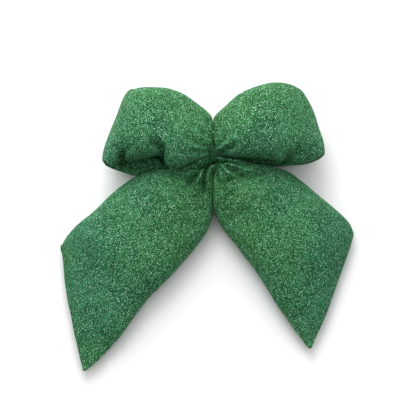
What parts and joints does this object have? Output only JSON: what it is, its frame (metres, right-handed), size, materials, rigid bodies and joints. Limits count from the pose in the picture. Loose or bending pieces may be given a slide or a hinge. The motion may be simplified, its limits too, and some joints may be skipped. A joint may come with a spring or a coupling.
{
  "type": "padded gift bow",
  "caption": "Padded fabric gift bow: stuffed loops and hanging tails gathered into a narrow centre band, with a wire tie behind.",
  "frame": {"origin": "on the plane that the bow rests on, directly behind the middle of the centre band", "axes": "+Z out of the bow's face, +Y towards the top of the loops, +X towards the right loop as seen from the front"},
  "size_m": [0.2922, 0.2867, 0.06],
  "materials": {
    "glitter_knit": "satin",
    "wadding": "matte",
    "thread": "matte",
    "tie_paper": "matte",
    "tie_wire": "satin"
  },
  "bodies": {
    "waist": {"loop_sleeve_waist": "glitter_knit", "tail_sleeve_waist": "glitter_knit", "centre_band": "glitter_knit", "binding_thread": "thread", "band_stitches": "thread", "tie_strip_centre": "tie_paper", "tie_wire_centre": "tie_wire"},
    "right_loop": {"right_loop_cover": "glitter_knit", "right_loop_filling": "wadding"},
    "left_loop": {"left_loop_cover": "glitter_knit", "left_loop_filling": "wadding"},
    "right_tail": {"right_tail_cover": "glitter_knit", "right_tail_filling": "wadding"},
    "left_tail": {"left_tail_cover": "glitter_knit", "left_tail_filling": "wadding"},
    "right_tie": {"tie_strip_right": "tie_paper", "tie_wire_right": "tie_wire"},
    "left_tie": {"tie_strip_left": "tie_paper", "tie_wire_left": "tie_wire"}
  },
  "joints": [
    {"name": "right_loop_lift", "type": "hinge", "parent": "waist", "child": "right_loop", "pos_m": [0.011, 0, 0.028], "axis": [0, -1, 0], "range_deg": [0, 20]},
    {"name": "left_loop_lift", "type": "hinge", "parent": "waist", "child": "left_loop", "pos_m": [-0.011, 0, 0.028], "axis": [0, 1, 0], "range_deg": [0, 20]},
    {"name": "right_tail_lift", "type": "hinge", "parent": "waist", "child": "right_tail", "pos_m": [0, -0.026, 0.033], "axis": [-1, 0, 0], "range_deg": [0, 45]},
    {"name": "left_tail_lift", "type": "hinge", "parent": "waist", "child": "left_tail", "pos_m": [0, -0.026, 0.033], "axis": [-1, 0, 0], "range_deg": [0, 45]},
    {"name": "right_tie_bend", "type": "hinge", "parent": "waist", "child": "right_tie", "pos_m": [0.00705, 0, 0.0099], "axis": [0, 1, 0], "range_deg": [0, 70]},
    {"name": "left_tie_bend", "type": "hinge", "parent": "waist", "child": "left_tie", "pos_m": [-0.00705, 0, 0.0099], "axis": [0, -1, 0], "range_deg": [0, 70]}
  ]
}
